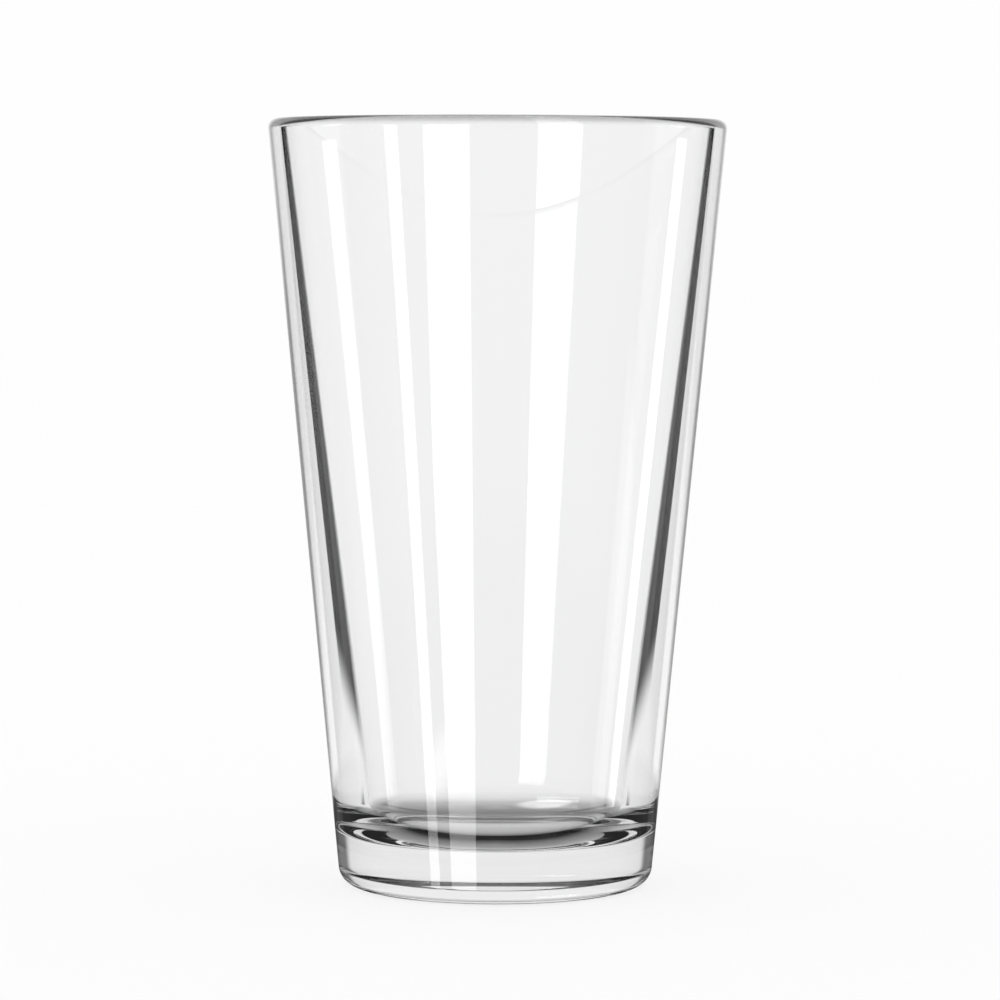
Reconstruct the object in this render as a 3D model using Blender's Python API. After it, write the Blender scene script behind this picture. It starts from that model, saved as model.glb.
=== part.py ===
"""Mixing glass: a plain conical bar tumbler of clear soda-lime glass with a heavy solid base.

The real object is one piece of pressed glass, so it is one turned solid. Its axis is the Z axis
and it stands on the plane z = 0. Every size is that of the finished glass, in metres.
"""

import math

import bmesh
import bpy
from mathutils import Vector

MM = 0.001

# Outside: a straight taper from the rim down to a rounded heel
HEIGHT = 149.2 * MM
RIM_DIAMETER = 88.9 * MM  # the widest place, on the rounded rim
FOOT_DIAMETER = 60.7 * MM  # where the line of the wall meets the table, before the heel is rounded
HEEL_RADIUS = 2.75 * MM

# Inside: a steeper taper than the outside, so the wall thickens from the rim to the floor
WALL_AT_RIM = 2.8 * MM
WALL_AT_FLOOR = 7.0 * MM
BASE_THICKNESS = 10.4 * MM  # from the table to where the lines of the wall and the floor meet
FLOOR_ROUND_RADIUS = 9.3 * MM
FLOOR_SLOPE = math.radians(5.0)  # of the dished floor where it meets its round

# Rim: both edges melted round, with a narrow crown left between them
RIM_OUTER_RADIUS = 1.8 * MM
RIM_INNER_RADIUS = 1.1 * MM

# Underside: a flat bearing ring round a shallow domed hollow
HOLLOW_DIAMETER = 48.0 * MM
HOLLOW_SLOPE = math.radians(7.0)  # of the dome where it leaves the ring
HOLLOW_EDGE_RADIUS = 1.0 * MM

# Facets of the turned solid
SEGMENTS = 96
ROUND_STEPS = 6
DOME_STEPS = 4
MERGE_DISTANCE = 0.001 * MM

GLASS_COLOUR = (0.955, 0.965, 0.96, 1.0)
GLASS_ROUGHNESS = 0.02
GLASS_IOR = 1.52


def clear_scene():
    for existing in list(bpy.data.objects):
        bpy.data.objects.remove(existing, do_unlink=True)


def rounding(before, corner, after, radius):
    """Points of the arc of this radius that touches both of the lines meeting at corner."""
    to_before = (before - corner).normalized()
    to_after = (after - corner).normalized()
    half_angle = to_before.angle(to_after) / 2
    centre = corner + (to_before + to_after).normalized() * radius / math.sin(half_angle)
    reach = radius / math.tan(half_angle)
    start = corner + to_before * reach - centre
    end = corner + to_after * reach - centre
    sweep = math.atan2(start.x * end.y - start.y * end.x, start.dot(end))
    points = []
    for step in range(ROUND_STEPS + 1):
        cosine = math.cos(sweep * step / ROUND_STEPS)
        sine = math.sin(sweep * step / ROUND_STEPS)
        turned_arm = Vector((start.x * cosine - start.y * sine, start.x * sine + start.y * cosine))
        points.append(centre + turned_arm)
    return points


def dome(edge, slope):
    """Points from edge to the axis, on an arc that has this slope at edge and is level on the axis."""
    sphere_radius = edge.x / math.sin(slope)
    points = []
    for step in range(1, DOME_STEPS + 1):
        angle = slope * (1 - step / DOME_STEPS)
        rise = sphere_radius * (math.cos(angle) - math.cos(slope))
        points.append(Vector((sphere_radius * math.sin(angle), edge.y + rise)))
    return points


def glass_profile():
    """Half section as points (radius, height), from the middle of the floor, over the rim, to under it."""
    heel = Vector((FOOT_DIAMETER / 2, 0))
    rim_round_centre = Vector((RIM_DIAMETER / 2 - RIM_OUTER_RADIUS, HEIGHT - RIM_OUTER_RADIUS))
    heel_to_rim = rim_round_centre - heel
    taper = math.atan2(heel_to_rim.x, heel_to_rim.y) + math.asin(RIM_OUTER_RADIUS / heel_to_rim.length)
    rim_outer = Vector((heel.x + HEIGHT * math.tan(taper), HEIGHT))
    rim_inner = Vector((RIM_DIAMETER / 2 - WALL_AT_RIM, HEIGHT))
    outer_at_floor = heel.x + BASE_THICKNESS * math.tan(taper)
    floor_edge = Vector((outer_at_floor - WALL_AT_FLOOR, BASE_THICKNESS))
    floor_inward = floor_edge - Vector((math.cos(FLOOR_SLOPE), math.sin(FLOOR_SLOPE)))
    hollow_edge = Vector((HOLLOW_DIAMETER / 2, 0))
    hollow_inward = hollow_edge + Vector((-math.cos(HOLLOW_SLOPE), math.sin(HOLLOW_SLOPE)))

    floor_round = rounding(floor_inward, floor_edge, rim_inner, FLOOR_ROUND_RADIUS)
    floor = dome(floor_round[0], -FLOOR_SLOPE)
    rim = rounding(floor_edge, rim_inner, rim_outer, RIM_INNER_RADIUS)
    rim += rounding(rim_inner, rim_outer, heel, RIM_OUTER_RADIUS)
    heel_round = rounding(rim_outer, heel, hollow_edge, HEEL_RADIUS)
    hollow_round = rounding(heel, hollow_edge, hollow_inward, HOLLOW_EDGE_RADIUS)
    hollow = dome(hollow_round[-1], HOLLOW_SLOPE)
    return floor[::-1] + floor_round + rim + heel_round + hollow_round + hollow


def turned(name, profile):
    """A solid turned about Z from a profile that starts and ends on the axis."""
    shape = bmesh.new()
    points = [shape.verts.new((point.x, 0, point.y)) for point in profile]
    edges = [shape.edges.new(ends) for ends in zip(points, points[1:])]
    bmesh.ops.spin(
        shape,
        geom=points + edges,
        cent=(0, 0, 0),
        axis=(0, 0, 1),
        angle=math.tau,
        steps=SEGMENTS,
        use_merge=True,
    )
    bmesh.ops.remove_doubles(shape, verts=shape.verts, dist=MERGE_DISTANCE)
    bmesh.ops.recalc_face_normals(shape, faces=shape.faces)
    mesh = bpy.data.meshes.new(name)
    shape.to_mesh(mesh)
    shape.free()
    mesh.shade_smooth()
    solid = bpy.data.objects.new(name, mesh)
    bpy.context.scene.collection.objects.link(solid)
    return solid


def clear_glass():
    material = bpy.data.materials.new("clear_glass")
    material.use_nodes = True
    surface = material.node_tree.nodes["Principled BSDF"]
    surface.inputs["Base Color"].default_value = GLASS_COLOUR
    surface.inputs["Metallic"].default_value = 0.0
    surface.inputs["Roughness"].default_value = GLASS_ROUGHNESS
    surface.inputs["IOR"].default_value = GLASS_IOR
    surface.inputs["Transmission Weight"].default_value = 1.0
    return material


def main():
    clear_scene()
    glass = turned("glass_body", glass_profile())
    glass.data.materials.append(clear_glass())


main()
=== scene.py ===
"""Looks of the mixing glass: one heavy conical bar glass of clear pressed glass in soft studio light."""

import math

import bmesh
import bpy
from mathutils import Matrix, Vector


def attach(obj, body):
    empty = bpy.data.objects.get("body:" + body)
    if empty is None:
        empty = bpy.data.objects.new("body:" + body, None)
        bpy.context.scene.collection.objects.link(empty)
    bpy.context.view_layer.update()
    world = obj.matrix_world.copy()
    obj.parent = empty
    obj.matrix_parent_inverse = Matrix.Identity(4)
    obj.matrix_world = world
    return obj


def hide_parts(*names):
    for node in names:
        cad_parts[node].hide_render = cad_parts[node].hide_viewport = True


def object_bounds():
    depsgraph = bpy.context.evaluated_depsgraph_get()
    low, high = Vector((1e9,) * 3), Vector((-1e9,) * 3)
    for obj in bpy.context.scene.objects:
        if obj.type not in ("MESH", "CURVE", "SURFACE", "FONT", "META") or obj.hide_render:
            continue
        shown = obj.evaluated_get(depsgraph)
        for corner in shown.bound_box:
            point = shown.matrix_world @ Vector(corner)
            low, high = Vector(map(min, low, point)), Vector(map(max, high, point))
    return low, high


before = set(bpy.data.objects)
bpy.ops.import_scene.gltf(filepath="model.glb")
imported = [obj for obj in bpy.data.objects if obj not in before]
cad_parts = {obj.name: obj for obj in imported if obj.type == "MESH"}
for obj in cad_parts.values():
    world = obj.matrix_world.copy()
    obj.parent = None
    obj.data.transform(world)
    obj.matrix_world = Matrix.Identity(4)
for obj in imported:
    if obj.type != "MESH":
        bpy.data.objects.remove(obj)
cad_low, cad_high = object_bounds()
scene = bpy.context.scene

# Camera
# A long lens a little below the height of the rim, tilted down so that the glass fills the picture,
# with the slight roll and off-centre aim of a hand-set tripod head.
MM = 0.001
CAMERA_DISTANCE = 862.5 * MM
CAMERA_HEIGHT = 132.2 * MM
CAMERA_LENS = 159.6
CAMERA_TILT = 0.066
CAMERA_PAN = 0.0008
CAMERA_ROLL = 0.0034
NEAREST_SEEN = 10 * MM

camera = bpy.data.objects.new("camera", bpy.data.cameras.new("camera"))
camera.data.lens = CAMERA_LENS
camera.data.clip_start = NEAREST_SEEN
camera.matrix_world = (
    Matrix.Translation((0, -CAMERA_DISTANCE, CAMERA_HEIGHT))
    @ Matrix.Rotation(-CAMERA_PAN, 4, "Z")
    @ Matrix.Rotation(math.radians(90) - CAMERA_TILT, 4, "X")
    @ Matrix.Rotation(CAMERA_ROLL, 4, "Z")
)
scene.collection.objects.link(camera)
scene.camera = camera
scene.view_settings.view_transform = "Standard"

# Glass body
# The whole glass, one gob of clear soda-lime glass pressed between a mould and a plunger. The rim is
# melted round by a flame, and the bearing ring underneath is stippled by the mould.
HEIGHT = cad_high[2] - cad_low[2]
RIM_DIAMETER = cad_high[0] - cad_low[0]
FOOT_DIAMETER = 60.7 * MM
HEEL_RADIUS = 3.8 * MM
WALL_AT_RIM = 2.8 * MM
WALL_AT_FLOOR = 7.0 * MM
BASE_THICKNESS = 10.4 * MM
FLOOR_ROUND_RADIUS = 9.3 * MM
FLOOR_SLOPE = math.radians(5.0)
RIM_OUTER_RADIUS = 1.8 * MM
RIM_INNER_RADIUS = 1.1 * MM
HOLLOW_DIAMETER = 53.0 * MM
HOLLOW_SLOPE = math.radians(8.0)
HOLLOW_EDGE_RADIUS = 0.5 * MM
STIPPLE_DEPTH = 0.1 * MM
STIPPLE_DOTS = 80
STIPPLE_ROWS = 2
SEGMENTS = 6 * STIPPLE_DOTS
ROUND_STEPS = 16
DOME_STEPS = 24
RING_STEPS = 6 * STIPPLE_ROWS
MERGE_DISTANCE = 0.001 * MM


def rounding(before, corner, after, radius):
    """Points of the arc of this radius that touches both of the lines meeting at corner."""
    to_before = (before - corner).normalized()
    to_after = (after - corner).normalized()
    half_angle = to_before.angle(to_after) / 2
    centre = corner + (to_before + to_after).normalized() * radius / math.sin(half_angle)
    reach = radius / math.tan(half_angle)
    start = corner + to_before * reach - centre
    end = corner + to_after * reach - centre
    sweep = math.atan2(start.x * end.y - start.y * end.x, start.dot(end))
    points = []
    for step in range(ROUND_STEPS + 1):
        cosine = math.cos(sweep * step / ROUND_STEPS)
        sine = math.sin(sweep * step / ROUND_STEPS)
        turned_arm = Vector((start.x * cosine - start.y * sine, start.x * sine + start.y * cosine))
        points.append(centre + turned_arm)
    return points


def dome(edge, slope):
    """Points from edge to the axis, on an arc that has this slope at edge and is level on the axis."""
    sphere_radius = edge.x / math.sin(slope)
    points = []
    for step in range(1, DOME_STEPS + 1):
        angle = slope * (1 - step / DOME_STEPS)
        rise = sphere_radius * (math.cos(angle) - math.cos(slope))
        points.append(Vector((sphere_radius * math.sin(angle), edge.y + rise)))
    return points


def glass_profile():
    """Half section as (radius, height), from the middle of the floor over the rim to the underside."""
    heel = Vector((FOOT_DIAMETER / 2, 0))
    rim_round_centre = Vector((RIM_DIAMETER / 2 - RIM_OUTER_RADIUS, HEIGHT - RIM_OUTER_RADIUS))
    heel_to_rim = rim_round_centre - heel
    taper = math.atan2(heel_to_rim.x, heel_to_rim.y) + math.asin(RIM_OUTER_RADIUS / heel_to_rim.length)
    rim_outer = Vector((heel.x + HEIGHT * math.tan(taper), HEIGHT))
    rim_inner = Vector((RIM_DIAMETER / 2 - WALL_AT_RIM, HEIGHT))
    outer_at_floor = heel.x + BASE_THICKNESS * math.tan(taper)
    floor_edge = Vector((outer_at_floor - WALL_AT_FLOOR, BASE_THICKNESS))
    floor_inward = floor_edge - Vector((math.cos(FLOOR_SLOPE), math.sin(FLOOR_SLOPE)))
    hollow_edge = Vector((HOLLOW_DIAMETER / 2, 0))
    hollow_inward = hollow_edge + Vector((-math.cos(HOLLOW_SLOPE), math.sin(HOLLOW_SLOPE)))

    floor_round = rounding(floor_inward, floor_edge, rim_inner, FLOOR_ROUND_RADIUS)
    floor = dome(floor_round[0], -FLOOR_SLOPE)
    rim = rounding(floor_edge, rim_inner, rim_outer, RIM_INNER_RADIUS)
    rim += rounding(rim_inner, rim_outer, heel, RIM_OUTER_RADIUS)
    heel_round = rounding(rim_outer, heel, hollow_edge, HEEL_RADIUS)
    hollow_round = rounding(heel, hollow_edge, hollow_inward, HOLLOW_EDGE_RADIUS)
    hollow = dome(hollow_round[-1], HOLLOW_SLOPE)
    ring_width = heel_round[-1] - hollow_round[0]
    ring = [heel_round[-1] - ring_width * step / RING_STEPS for step in range(1, RING_STEPS)]
    outside = floor[::-1] + floor_round + rim + heel_round
    return outside + ring + hollow_round + hollow, hollow_round[0].x, heel_round[-1].x


def stipple(radius, angle, ring_inside, ring_outside):
    """How far the bearing ring is pressed up here between the dots that it stands on."""
    across = (radius - ring_inside) / (ring_outside - ring_inside) * STIPPLE_ROWS
    row = min(int(across), STIPPLE_ROWS - 1)
    along = angle * STIPPLE_DOTS / math.tau + row / 2
    dot = math.sin(math.pi * (across - row)) * abs(math.cos(math.pi * along))
    fade = math.sin(math.pi * across / STIPPLE_ROWS)
    return STIPPLE_DEPTH * fade * (1 - dot)


profile, ring_inside, ring_outside = glass_profile()
shape = bmesh.new()
points = [shape.verts.new((point.x, 0, point.y)) for point in profile]
edges = [shape.edges.new(ends) for ends in zip(points, points[1:])]
bmesh.ops.spin(
    shape,
    geom=points + edges,
    cent=(0, 0, 0),
    axis=(0, 0, 1),
    angle=math.tau,
    steps=SEGMENTS,
    use_merge=True,
)
bmesh.ops.remove_doubles(shape, verts=shape.verts, dist=MERGE_DISTANCE)
bmesh.ops.recalc_face_normals(shape, faces=shape.faces)
for vert in shape.verts:
    radius = math.hypot(vert.co.x, vert.co.y)
    if vert.co.z < MERGE_DISTANCE and ring_inside < radius < ring_outside:
        vert.co.z += stipple(radius, math.atan2(vert.co.y, vert.co.x), ring_inside, ring_outside)
glass_mesh = bpy.data.meshes.new("clear_glass_body")
shape.to_mesh(glass_mesh)
shape.free()
glass_mesh.shade_smooth()
glass = bpy.data.objects.new("clear_glass_body", glass_mesh)
scene.collection.objects.link(glass)


class Value:
    """A shader socket: arithmetic on it adds Math nodes, and node() adds any other node."""

    def __init__(self, socket):
        self.socket = socket

    @staticmethod
    def node(tree, kind, settings=None, sockets=None, output=0):
        """Adds a node, sets it up, sets or links its sockets, and wraps one of its outputs."""
        made = tree.nodes.new(kind)
        for name, setting in (settings or {}).items():
            if name == "stops":
                ramp = made.color_ramp
                while len(ramp.elements) < len(setting):
                    ramp.elements.new(1.0)
                for element, (position, grey) in zip(ramp.elements, setting):
                    element.position = position
                    element.color = (grey, grey, grey, 1)
            else:
                setattr(made, name, setting)
        for name, value in (sockets or {}).items():
            if isinstance(value, Value):
                tree.links.new(value.socket, made.inputs[name])
            else:
                made.inputs[name].default_value = value
        return Value(made.outputs[output])

    def math(self, operation, *values):
        tree = self.socket.id_data
        return Value.node(tree, "ShaderNodeMath", {"operation": operation}, dict(enumerate(values)))

    def __add__(self, other):
        return self.math("ADD", self, other)

    def __radd__(self, other):
        return self.math("ADD", other, self)

    def __sub__(self, other):
        return self.math("SUBTRACT", self, other)

    def __rsub__(self, other):
        return self.math("SUBTRACT", other, self)

    def __mul__(self, other):
        return self.math("MULTIPLY", self, other)

    def __rmul__(self, other):
        return self.math("MULTIPLY", other, self)

    def __neg__(self):
        return self.math("MULTIPLY", self, -1.0)

    def __abs__(self):
        return self.math("ABSOLUTE", self)

    def above(self, edge, soft):
        """0 below the edge and 1 above it, with a soft step of this half width between them."""
        return Value.node(
            self.socket.id_data,
            "ShaderNodeMapRange",
            {"interpolation_type": "SMOOTHSTEP"},
            {"Value": self, "From Min": edge - soft, "From Max": edge + soft},
        )

    def between(self, low, high, soft):
        return self.above(low, soft) - self.above(high, soft)

    def at_least(self, count):
        """1 where a whole number has come up to this count, and 0 before."""
        return self.math("GREATER_THAN", self, count - 0.5)

    def clamped(self):
        """What is above 0, with 0 in place of the rest."""
        return self.math("MAXIMUM", self, 0.0)


GLASS_IOR = 1.52
GLASS_CLEAR = (0.999, 0.9995, 0.999, 1)
GLASS_STREAK = (0.995, 0.997, 0.996, 1)
GLASS_DEPTH_COLOUR = (0.9, 0.9, 0.9, 1)
GLASS_DEPTH_DENSITY = 22.0
STREAK_SCALE = 55.0
STREAK_DETAIL = 4.0
PAINTED_RIM_SHADE_FROM = 147.4 * MM
PAINTED_RIM_SHADE_STOPS = ((0.0, 1.0), (0.28, 0.81), (0.39, 0.58), (0.61, 0.38), (0.78, 0.3), (1.0, 0.3))
WAVE_SCALE = 38.0
WAVE_DETAIL = 1.0
WAVE_DEPTH = 0.004 * MM
FOOT_WEAR = 0.05
FOOT_WEAR_HEIGHT = 0.2 * MM

material = bpy.data.materials.new("clear_glass")
material.use_nodes = True
tree = material.node_tree
surface = tree.nodes["Principled BSDF"]
surface.inputs["IOR"].default_value = GLASS_IOR
surface.inputs["Transmission Weight"].default_value = 1.0
place = Value.node(tree, "ShaderNodeTexCoord", output="Object")
height = Value.node(tree, "ShaderNodeSeparateXYZ", sockets={"Vector": place}, output="Z")
streaks = Value.node(
    tree,
    "ShaderNodeTexNoise",
    sockets={"Vector": place, "Scale": STREAK_SCALE, "Detail": STREAK_DETAIL},
)
body_colour = Value.node(
    tree,
    "ShaderNodeMix",
    {"data_type": "RGBA"},
    {"Factor": streaks, 6: GLASS_CLEAR, 7: GLASS_STREAK},
    output=2,
)
# Painted shade: the glass colour darkens by height over the top of the rim, standing in for the dark line
# that the rounded rim shows.
up_the_rim = (height - PAINTED_RIM_SHADE_FROM) * (1 / (HEIGHT - PAINTED_RIM_SHADE_FROM))
painted_rim_shade = Value.node(tree, "ShaderNodeValToRGB", {"stops": PAINTED_RIM_SHADE_STOPS}, {"Fac": up_the_rim})
glass_colour_with_painted_rim_shade = Value.node(
    tree,
    "ShaderNodeMix",
    {"data_type": "RGBA", "blend_type": "MULTIPLY"},
    {"Factor": 1.0, 6: body_colour, 7: painted_rim_shade},
    output=2,
)
waves = Value.node(
    tree,
    "ShaderNodeTexNoise",
    sockets={"Vector": place, "Scale": WAVE_SCALE, "Detail": WAVE_DETAIL},
)
uneven = Value.node(tree, "ShaderNodeBump", sockets={"Height": waves, "Distance": WAVE_DEPTH})
worn = FOOT_WEAR * (1 - height.above(FOOT_WEAR_HEIGHT, FOOT_WEAR_HEIGHT))
tree.links.new(glass_colour_with_painted_rim_shade.socket, surface.inputs["Base Color"])
tree.links.new(worn.socket, surface.inputs["Roughness"])
tree.links.new(uneven.socket, surface.inputs["Normal"])
depth = Value.node(
    tree,
    "ShaderNodeVolumeAbsorption",
    sockets={"Color": GLASS_DEPTH_COLOUR, "Density": GLASS_DEPTH_DENSITY},
)
tree.links.new(depth.socket, tree.nodes["Material Output"].inputs["Volume"])
glass_mesh.materials.append(material)
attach(glass, "root")
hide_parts("glass_body")

# Table
# A white sheet that runs out of sight on all sides, so brightly lit that the glass leaves only a
# faint shade on it. Through the glass, a painted dark contact shadow shows under its foot (next section).
TABLE_RADIUS = 3.0
TABLE_SIDES = 128
TABLE_GAP = 0.1 * MM
TABLE_WHITE = (0.99, 0.99, 0.99, 1)
TABLE_GLOW = 0.8


def disc(name, radius, level):
    outline = bmesh.new()
    bmesh.ops.create_circle(outline, cap_ends=True, segments=TABLE_SIDES, radius=radius)
    mesh = bpy.data.meshes.new(name)
    outline.to_mesh(mesh)
    outline.free()
    made = bpy.data.objects.new(name, mesh)
    made.location.z = level
    scene.collection.objects.link(made)
    finish = bpy.data.materials.new(name)
    finish.use_nodes = True
    mesh.materials.append(finish)
    return made, finish.node_tree


table, tree = disc("table", TABLE_RADIUS, -TABLE_GAP)
surface = tree.nodes["Principled BSDF"]
surface.inputs["Base Color"].default_value = TABLE_WHITE
surface.inputs["Roughness"].default_value = 1.0
surface.inputs["Specular IOR Level"].default_value = 0.0
glow = Value.node(tree, "ShaderNodeEmission", sockets={"Color": TABLE_WHITE})
lit = Value.node(
    tree,
    "ShaderNodeMixShader",
    sockets={0: TABLE_GLOW, 1: Value(surface.outputs["BSDF"]), 2: glow},
)
tree.links.new(lit.socket, tree.nodes["Material Output"].inputs["Surface"])
table.visible_glossy = False
table.visible_transmission = False

# Painted contact shadow on the table
# A disc that glows in greys and is seen only through the glass. It is painted as the shadow of the part
# of the sheet that the glass keeps its light from: darkest under the front of the foot and paler behind it,
# with a painted darker line just behind the heel, painted shade towards the sides, a small painted
# highlight behind the foot and an even pale grey further out. Places are in millimetres in front of and
# behind the axis.
CONTACT_RADIUS = 62 * MM
CONTACT_GAP = 0.05 * MM
PAINTED_SHADOW_STOPS = (
    (-62.0, 0.94),
    (-38.0, 0.4),
    (-26.0, 0.0),
    (-22.5, 0.015),
    (-18.0, 0.21),
    (-8.0, 0.47),
    (6.0, 0.68),
    (14.0, 0.45),
    (31.0, 0.19),
    (37.0, 0.27),
    (50.0, 0.68),
    (62.0, 0.94),
)
FRONT_CURVE = 0.2
FRONT_CURVE_END = (-4 * MM, 4 * MM)
BACK_CURVE_START = (18 * MM, 6 * MM)
CLEAR_START = (54 * MM, 8 * MM)
CLEAR_LEVEL = 0.93
PAINTED_SIDE_SHADE = 0.45
PAINTED_SIDE_SHADE_START = (30 * MM, 3 * MM)
PAINTED_HEEL_LINE_SHADE = 0.45
HEEL_LINE_BACK = (30 * MM, 33 * MM, 0.8 * MM)
HEEL_LINE_ACROSS = (16 * MM, 36 * MM, 4 * MM)
PAINTED_GLINT_LEVEL = 0.4
PAINTED_GLINT_PLACE = (13 * MM, 43.5 * MM)
PAINTED_GLINT_SIZE = (8 * MM, 5.5 * MM)
PAINTED_GLINT_EDGE = (0.9, 0.25)

contact, tree = disc("painted_contact_shadow", CONTACT_RADIUS, -CONTACT_GAP)
tree.nodes.remove(tree.nodes["Principled BSDF"])
place = Value.node(tree, "ShaderNodeTexCoord", output="Object")
across = abs(Value.node(tree, "ShaderNodeSeparateXYZ", sockets={"Vector": place}, output="X"))
back = Value.node(tree, "ShaderNodeSeparateXYZ", sockets={"Vector": place}, output="Y")
from_axis = Value.node(tree, "ShaderNodeVectorMath", {"operation": "LENGTH"}, {0: place}, output="Value")
# Painted shade: a darker line just behind the heel, and the disc darker towards the sides.
painted_heel_line = 1 - PAINTED_HEEL_LINE_SHADE * back.between(*HEEL_LINE_BACK) * across.between(*HEEL_LINE_ACROSS)
beside = painted_heel_line * (1 - PAINTED_SIDE_SHADE * across.above(*PAINTED_SIDE_SHADE_START))
front_curve = FRONT_CURVE * across * (1 - back.above(*FRONT_CURVE_END))
depth = back + (from_axis - back) * back.above(*BACK_CURVE_START) - front_curve
stops = [(0.5 + 0.5 * stop * MM / CONTACT_RADIUS, grey) for stop, grey in PAINTED_SHADOW_STOPS]
along_ramp = 0.5 + depth * (0.5 / CONTACT_RADIUS)
shade = Value.node(tree, "ShaderNodeValToRGB", {"stops": stops}, {"Fac": along_ramp})
clear = from_axis.above(*CLEAR_START)
# Painted highlight: a small bright oval added to the disc's colour behind the foot.
painted_glint_place = Value.node(
    tree,
    "ShaderNodeVectorMath",
    {"operation": "MULTIPLY_ADD"},
    {
        0: place,
        1: (1 / PAINTED_GLINT_SIZE[0], 1 / PAINTED_GLINT_SIZE[1], 0),
        2: (-PAINTED_GLINT_PLACE[0] / PAINTED_GLINT_SIZE[0], -PAINTED_GLINT_PLACE[1] / PAINTED_GLINT_SIZE[1], 0),
    },
)
painted_glint = Value.node(tree, "ShaderNodeVectorMath", {"operation": "LENGTH"}, {0: painted_glint_place}, output="Value")
painted_glint = PAINTED_GLINT_LEVEL * (1 - painted_glint.above(*PAINTED_GLINT_EDGE))
painted_shade_and_highlight = Value.node(
    tree,
    "ShaderNodeEmission",
    sockets={"Color": shade * beside * (1 - clear) + CLEAR_LEVEL * clear + painted_glint},
)
tree.links.new(painted_shade_and_highlight.socket, tree.nodes["Material Output"].inputs["Surface"])
contact.visible_camera = False
contact.visible_diffuse = False
contact.visible_glossy = False
contact.visible_shadow = False

# Studio
# A white tent of even light. What the glass mirrors is its own part of the studio for each of its
# walls: soft panels and strips round the front, black cards behind the two sides and the white table
# below. Angles are in degrees: side from the front, away from straight behind, and rise.
WHITE = 0.99
PANEL_STRENGTH = 4.0
PANEL_SOFT = 0.4
TABLE_RISE = (-36.0, 5.0)
DEGREES = math.degrees(1)

world = bpy.data.worlds.new("studio")
scene.world = world
world.use_nodes = True
tree = world.node_tree
direction = Value.node(tree, "ShaderNodeTexCoord", output="Generated")
x = Value.node(tree, "ShaderNodeSeparateXYZ", sockets={"Vector": direction}, output="X")
y = Value.node(tree, "ShaderNodeSeparateXYZ", sockets={"Vector": direction}, output="Y")
z = Value.node(tree, "ShaderNodeSeparateXYZ", sockets={"Vector": direction}, output="Z")
side = x.math("ARCTAN2", x, -y) * DEGREES
away = abs(x.math("ARCTAN2", x, y)) * DEGREES
rise = z.math("ARCSINE", z) * DEGREES
glossy = Value.node(tree, "ShaderNodeLightPath", output="Glossy Depth")
diffuse = Value.node(tree, "ShaderNodeLightPath", output="Diffuse Depth")
crossings = Value.node(tree, "ShaderNodeLightPath", output="Transmission Depth")
downward = 1 - rise.above(*TABLE_RISE)


def panel(left, right, low, high, strength, lean=0.0, at_rise=0.0, foot=PANEL_SOFT):
    """A soft light between two sides and two rises, its sides leaning as it rises."""
    leaning = side + (rise - at_rise) * lean
    upright = rise.above(low, foot) - rise.above(high, PANEL_SOFT)
    return leaning.between(left, right, PANEL_SOFT) * upright * strength


# What the outside of the front wall mirrors: a wide panel, a narrow one and the gleam between them
FRONT_LEVEL = 0.2
FRONT_LIFT = 0.4
FRONT_LIFT_RISE = (-14.5, 1.5)
TABLE_LIFT = 0.6
WIDE_LEFT = -37.3
WIDE_RIGHT = -14.0
WIDE_RISE = (-30.0, -2.0)
WIDE_LEAN = 0.55
WIDE_LEANS_BELOW = -13.2
GLEAM = 6.0
GLEAM_RISE = (-19.3, -18.65, 0.1)
NARROW_PANEL = dict(left=-50.9, right=-43.8, low=-32.0, high=-2.0, lean=0.62, at_rise=-17.8)
GAP_GLEAM = dict(left=-44.5, right=-34.0, low=-19.6, high=-18.6, strength=2.6)
EDGE_LIFT = 0.7
EDGE_LIFT_START = (24.0, 5.0)
EDGE_LIFT_END = (39.0, 2.0)
EDGE_CARD_DARK = 0.85
EDGE_CARD_START = (40.5, 1.5)
EDGE_CARD_END = (45.5, 1.2)
EDGE_CARD_LEAN = 1.5
EDGE_CARD_FOOT = (-11.8, 0.5)
RIM_LIFT = 0.8
RIM_LIFT_RISE = (-1.9, 1.3)
RIM_LIFT_END = (21.0, 5.0)
BASE_DIM = 0.85
BASE_LEAN = 0.0925
BASE_TOP = (-7.7, 0.2)

front = FRONT_LEVEL + FRONT_LIFT * rise.above(*FRONT_LIFT_RISE) + TABLE_LIFT * downward
leaning_part = rise.math("MINIMUM", rise - WIDE_LEANS_BELOW, 0.0)
wide_panel = (side + WIDE_LEAN * leaning_part).above(WIDE_LEFT, PANEL_SOFT)
wide_panel = (wide_panel - side.above(WIDE_RIGHT, PANEL_SOFT)) * rise.between(*WIDE_RISE, PANEL_SOFT)
wide_panel = wide_panel * (PANEL_STRENGTH + GLEAM * rise.between(*GLEAM_RISE))
panels = wide_panel + panel(strength=PANEL_STRENGTH, **NARROW_PANEL) + panel(**GAP_GLEAM)
edge_light = EDGE_LIFT * (away.above(*EDGE_LIFT_START) - away.above(*EDGE_LIFT_END))
edge_card = away.above(*EDGE_CARD_START) - (away + EDGE_CARD_LEAN * rise).above(*EDGE_CARD_END)
edge_card = edge_card.clamped() * rise.above(*EDGE_CARD_FOOT)
rim_light = RIM_LIFT * rise.above(*RIM_LIFT_RISE) * (1 - away.above(*RIM_LIFT_END))
base_dim = BASE_DIM * (1 - (rise + BASE_LEAN * away).above(*BASE_TOP)) * (1 - downward)
outer_wall = panels + (front * (1 - EDGE_CARD_DARK * edge_card + rim_light) + edge_light) * (1 - base_dim)

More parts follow.
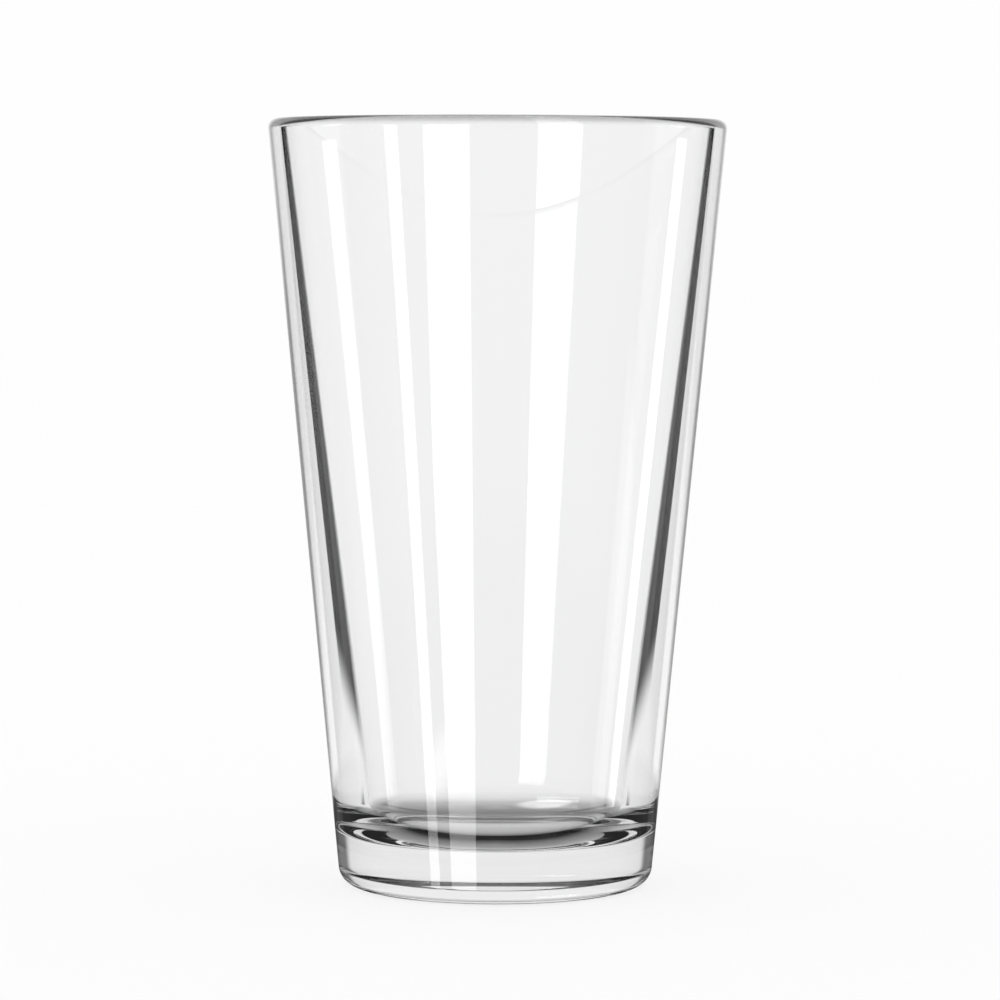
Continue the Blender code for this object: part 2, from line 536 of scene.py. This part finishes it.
# What the inside of the front wall mirrors: the bright back of the tent with a black card at each side,
# small dark hooks at the foot of the cards, and two bright strips and a faint one beside the camera
BEHIND_LEVEL = 0.92
BEHIND_END = (88.0, 1.5)
CARD_START = 34.3
CARD_START_RISE = -13.6
CARD_START_LEAN = 1.4
CARD_START_SOFT = 0.6
CARD_END = 42.8
CARD_END_RISE = -12.9
CARD_END_LEAN = 3.38
CARD_END_SOFT = 0.5
CARD_FOOT = (-14.4, 0.25)
CARD_FOOT_LEAN = 0.145
CARD_FOOT_AWAY = 35.8
GLOW_LEVEL = 0.15
GLOW_SPAN = (48.0, 62.0, 4.0)
GLOW_FOOT = (-16.5, 1.0)
HOOK_DARK = 0.8
HOOK_SPAN = (47.3, 52.0, 0.6)
HOOK_TOP = (-17.05, 0.1)
HOOK_FOOT = (-18.6, 0.2)
HOOK_LEAN = 0.112
HOOK_AWAY = 50.5
OVERHEAD_RISE = (15.0, 5.0)
OVERHEAD_START = (42.0, 4.0)
LEFT_STRIP = dict(
    left=-102.7, right=-92.6, low=-21.6, high=20.0, strength=2.2, lean=1.3, at_rise=-18.0, foot=2.2
)
RIGHT_STRIP = dict(
    left=106.7, right=114.6, low=-20.0, high=20.0, strength=2.4, lean=-1.15, at_rise=-17.2, foot=0.8
)
FAINT_STRIP = dict(left=86.0, right=100.0, low=-22.8, high=-18.4, strength=0.75, foot=0.8)
STRIP_TOP_SIDE = 107.0
LEFT_STRIP_TOP = (-15.05, 0.015)
LEFT_STRIP_TOP_LEAN = 0.0885
RIGHT_STRIP_TOP = (-15.04, 0.015)
RIGHT_STRIP_TOP_LEAN = 0.092
HIGH_PANEL = dict(left=-50.0, right=-23.3, low=-2.0, high=30.0, strength=PANEL_STRENGTH)

card_start = CARD_START - CARD_START_LEAN * (rise - CARD_START_RISE)
card_end = CARD_END - CARD_END_LEAN * (rise - CARD_END_RISE)
card = (away - card_start).above(0, CARD_START_SOFT) - (away - card_end).above(0, CARD_END_SOFT)
card = card.clamped() * (rise + CARD_FOOT_LEAN * (away - CARD_FOOT_AWAY)).above(*CARD_FOOT)
hook = 1 - (rise + HOOK_LEAN * (away - HOOK_AWAY)).above(*HOOK_TOP)
hook = hook * away.between(*HOOK_SPAN) * rise.above(*HOOK_FOOT)
overhead_card = rise.above(*OVERHEAD_RISE) * away.above(*OVERHEAD_START)
beyond = away.above(*BEHIND_END)
back_glow = GLOW_LEVEL * away.between(*GLOW_SPAN) * rise.above(*GLOW_FOOT)
behind = (BEHIND_LEVEL * (1 - beyond) + back_glow) * (1 - card)
behind = behind * (1 - HOOK_DARK * hook) * (1 - overhead_card)
from_strip_top = abs(side) - STRIP_TOP_SIDE
over_left = (rise - LEFT_STRIP_TOP_LEAN * from_strip_top).above(*LEFT_STRIP_TOP)
over_right = (rise - RIGHT_STRIP_TOP_LEAN * from_strip_top).above(*RIGHT_STRIP_TOP)
strips = panel(**LEFT_STRIP) * (1 - over_left) + panel(**RIGHT_STRIP) * (1 - over_right)
strips = strips + panel(**FAINT_STRIP) + panel(**HIGH_PANEL)
front_inside = behind + beyond * front + (1 - glossy.at_least(2)) * strips

# What the inner back wall mirrors: an even room with a dark ceiling, and one panel
DEEP_LEVEL = 0.6
CEILING_DARK = 0.9
CEILING_RISE = (32.0, 6.0)
BACK_PANEL_SPAN = (-50.0, -23.3)
BACK_PANEL_TOP = (26.0, 5.0)

back_panel = PANEL_STRENGTH * side.between(*BACK_PANEL_SPAN, PANEL_SOFT) * (1 - rise.above(*BACK_PANEL_TOP))
back_inside = back_panel + DEEP_LEVEL * (1 - CEILING_DARK * rise.above(*CEILING_RISE))

# The whole room: each wall's part by the surfaces crossed, light lost after many turns inside the glass,
# and a white tent with a dark card at each side for what is seen straight through the glass
LOST_AFTER = 5
LOST_LEVEL = 0.025
LOST_TABLE_LEVEL = 0.5
TRAPPED_AFTER = 7
TRAPPED_LEVEL = 0.3
TRAPPED_RISE = (55.0, 6.0)
SIDE_CARD_DARK = 0.85
SIDE_CARD_SPAN = (59.7, 104.0, 4.0)
SIDE_CARD_RISE = (-3.0, 35.0, 2.0)
MOST_BOUNCES = 64

not_scattered = 1 - diffuse.at_least(1)
on_outer_wall = 1 - crossings.at_least(1)
in_front_wall = crossings.at_least(2) - crossings.at_least(3)
on_back_wall = crossings.at_least(4) - crossings.at_least(5)
deeper = 1 - on_outer_wall - in_front_wall - on_back_wall
studio = (
    on_outer_wall * outer_wall
    + in_front_wall * front_inside
    + on_back_wall * back_inside
    + deeper * DEEP_LEVEL
)
lost = glossy.at_least(LOST_AFTER)
trapped = TRAPPED_LEVEL * glossy.at_least(TRAPPED_AFTER) * rise.above(*TRAPPED_RISE)
studio = studio * (1 - lost) + lost * (LOST_LEVEL + trapped + LOST_TABLE_LEVEL * downward)
side_card = SIDE_CARD_DARK * away.between(*SIDE_CARD_SPAN) * rise.between(*SIDE_CARD_RISE)
tent = WHITE * (1 - in_front_wall * not_scattered * side_card)
mirrored = glossy.at_least(1) * not_scattered
level = tent * (1 - mirrored) + studio * mirrored
tree.links.new(level.socket, tree.nodes["Background"].inputs["Color"])
tree.nodes["Background"].inputs["Strength"].default_value = 1.0
scene.cycles.max_bounces = MOST_BOUNCES
scene.cycles.glossy_bounces = MOST_BOUNCES
scene.cycles.transmission_bounces = MOST_BOUNCES
